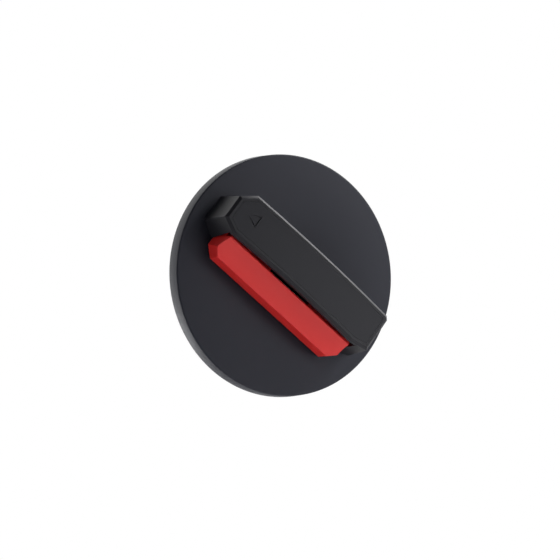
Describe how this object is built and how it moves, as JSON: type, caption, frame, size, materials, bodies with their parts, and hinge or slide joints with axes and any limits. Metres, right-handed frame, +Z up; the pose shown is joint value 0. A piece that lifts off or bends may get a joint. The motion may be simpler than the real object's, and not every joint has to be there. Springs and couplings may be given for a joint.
{
  "type": "panel seacock valve",
  "caption": "Round panel disc with a diagonal squeeze-to-turn bar handle that drives a quarter-turn ball valve with threaded ports behind the panel.",
  "frame": {"origin": "on the turning axis, in the plane of the cover disc's back face, which lies on the panel", "axes": "-Y out of the panel towards the hand, +Y behind the panel, +Z up along the water way, +X to the right seen from the front"},
  "size_m": [0.121, 0.0941, 0.121],
  "materials": {
    "disc_plastic": "satin-smooth moulded slate grey",
    "grip_plastic": "fine spark-eroded black",
    "cover_plastic": "fine spark-eroded black",
    "red_plastic": "satin moulded red",
    "bronze": "cast and turned bronze",
    "brass": "turned brass",
    "stainless": "machined stainless steel",
    "spring_steel": "drawn wire",
    "ball_chrome": "polished and plated",
    "seal_rubber": "moulded nitrile",
    "seal_plastic": "turned PTFE"
  },
  "bodies": {
    "housing": {"cover_disc": "disc_plastic", "panel_inserts": "brass", "bonnet_inserts": "brass", "panel_gasket": "seal_rubber", "index_ring": "stainless", "gland_nut": "brass", "packing_follower": "brass", "stem_packing": "seal_plastic", "stem_seal": "seal_rubber", "thrust_washer": "seal_plastic", "valve_body": "bronze", "bonnet_screws": "stainless", "inlet_seat": "seal_plastic", "outlet_seat": "seal_plastic", "end_adapter": "bronze", "adapter_seal": "seal_rubber", "drain_plug": "bronze", "drain_washer": "seal_plastic"},
    "handle": {"handle_grip": "grip_plastic", "arrow_cover": "cover_plastic", "drive_insert": "brass", "handle_washer": "stainless", "handle_screw": "stainless", "guide_pins": "stainless", "arrow_end_spring": "spring_steel", "tail_end_spring": "spring_steel", "stem": "bronze", "stop_plate": "stainless"},
    "trigger": {"squeeze_trigger": "red_plastic", "latch_plate": "stainless", "latch_screws": "stainless"},
    "valve_ball": {"ball": "ball_chrome"}
  },
  "joints": [
    {"name": "handle_turn", "type": "hinge", "parent": "housing", "child": "handle", "pos_m": [0, 0, 0], "axis": [0, 1, 0], "range_deg": [-45, 45]},
    {"name": "trigger_squeeze", "type": "slide", "parent": "handle", "child": "trigger", "axis": [0.7071, 0, 0.7071], "range_m": [0, 0.0028], "stiffness_N_per_m": 2000, "springref_m": -0.003, "deforming": ["arrow_end_spring", "tail_end_spring"]},
    {"name": "ball_turn", "type": "hinge", "parent": "housing", "child": "valve_ball", "pos_m": [0, 0.0394, 0], "axis": [0, 1, 0], "range_deg": [-45, 45]}
  ],
  "couplings": [
    {"joint": "ball_turn", "follows": "handle_turn", "ratio": 1}
  ]
}
